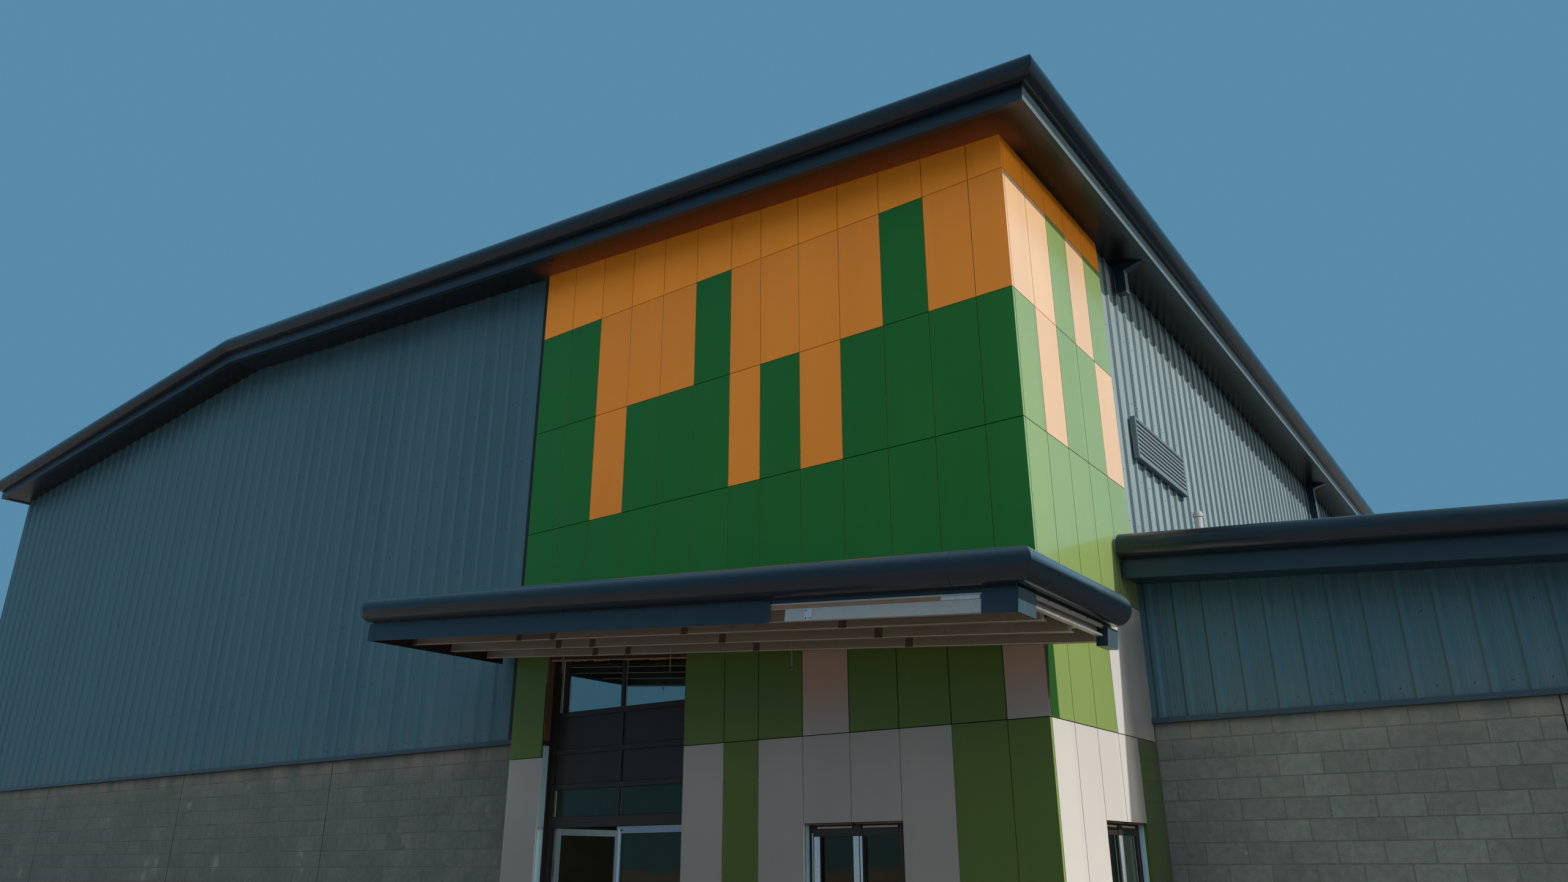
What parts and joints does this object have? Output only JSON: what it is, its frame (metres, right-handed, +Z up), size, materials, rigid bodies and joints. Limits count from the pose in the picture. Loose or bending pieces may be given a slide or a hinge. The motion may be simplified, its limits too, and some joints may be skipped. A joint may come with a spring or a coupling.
{
  "type": "school building",
  "caption": "Wide gabled hall in profiled metal over blockwork with a panelled entrance block in greens and orange, a cantilevered canopy, a low wing and double entrance doors.",
  "frame": {"origin": "on the ground in the middle of the doorway, in the plane of the doors' outer frame face", "axes": "+X to the right along the front seen from outside, +Y into the building, +Z up"},
  "size_m": [35.7516, 33.07, 11.6628],
  "materials": {
    "concrete": "rough concrete, matt",
    "inner_wall": "rendered wall behind the panels, matt",
    "panels_orange": "orange panels, satin",
    "panels_emerald": "emerald green panels, satin",
    "panels_moss": "moss green panels, satin",
    "panels_pale": "pale warm grey panels, satin",
    "blockwork": "grey split concrete blocks, matt",
    "wall_metal": "blue-grey profiled metal, satin",
    "flashing": "blue-grey folded metal, satin",
    "roof_metal": "dark blue folded metal, satin",
    "soffit": "dark boards, semi-gloss",
    "fascia_metal": "slate blue folded metal, satin",
    "vent_plastic": "light grey pipe, matt",
    "galvanised": "galvanised steel, weathered",
    "frame_dark": "anthracite frames, satin",
    "glass": "clear double glazing, gloss",
    "door_silver": "silver anodised door frames, satin"
  },
  "bodies": {
    "building": {"floor_slab": "concrete", "entry_wall_left": "inner_wall", "entry_wall_right": "inner_wall", "entry_wall_over": "inner_wall", "entry_side_wall": "inner_wall", "panels_orange": "panels_orange", "panels_emerald": "panels_emerald", "panels_moss": "panels_moss", "panels_pale": "panels_pale", "hall_front_plinth": "blockwork", "hall_front_cladding": "wall_metal", "hall_left_plinth": "blockwork", "hall_left_cladding": "wall_metal", "hall_rear_plinth": "blockwork", "hall_rear_cladding": "wall_metal", "hall_side_plinth": "blockwork", "hall_side_cladding": "wall_metal", "flashings": "flashing", "hall_roof": "roof_metal", "hall_soffit": "soffit", "hall_fascia": "fascia_metal", "hall_roof_roll": "roof_metal", "louvre": "wall_metal", "rainwater_pipes": "fascia_metal", "vent_pipe": "vent_plastic", "wing_front_plinth": "blockwork", "wing_front_cladding": "wall_metal", "wing_end_plinth": "blockwork", "wing_end_cladding": "wall_metal", "wing_rear_plinth": "blockwork", "wing_rear_cladding": "wall_metal", "wing_roof": "roof_metal", "wing_fascia": "fascia_metal", "wing_roof_roll": "roof_metal", "canopy_frame": "galvanised", "canopy_deck": "roof_metal", "canopy_fascia": "fascia_metal", "canopy_roll": "roof_metal", "entrance_frame": "frame_dark", "glazing": "glass", "window_frames": "frame_dark"},
    "left_leaf": {"door_left": "door_silver", "door_left_glass": "glass"},
    "right_leaf": {"door_right": "door_silver", "door_right_glass": "glass"}
  },
  "joints": [
    {"name": "left_leaf_hinge", "type": "hinge", "parent": "building", "child": "left_leaf", "pos_m": [-1.1557, 0.055, 0.13], "axis": [0, 0, 1], "range_deg": [-90, 0]},
    {"name": "right_leaf_hinge", "type": "hinge", "parent": "building", "child": "right_leaf", "pos_m": [1.1557, 0.055, 0.13], "axis": [0, 0, 1], "range_deg": [-90, 0]}
  ]
}
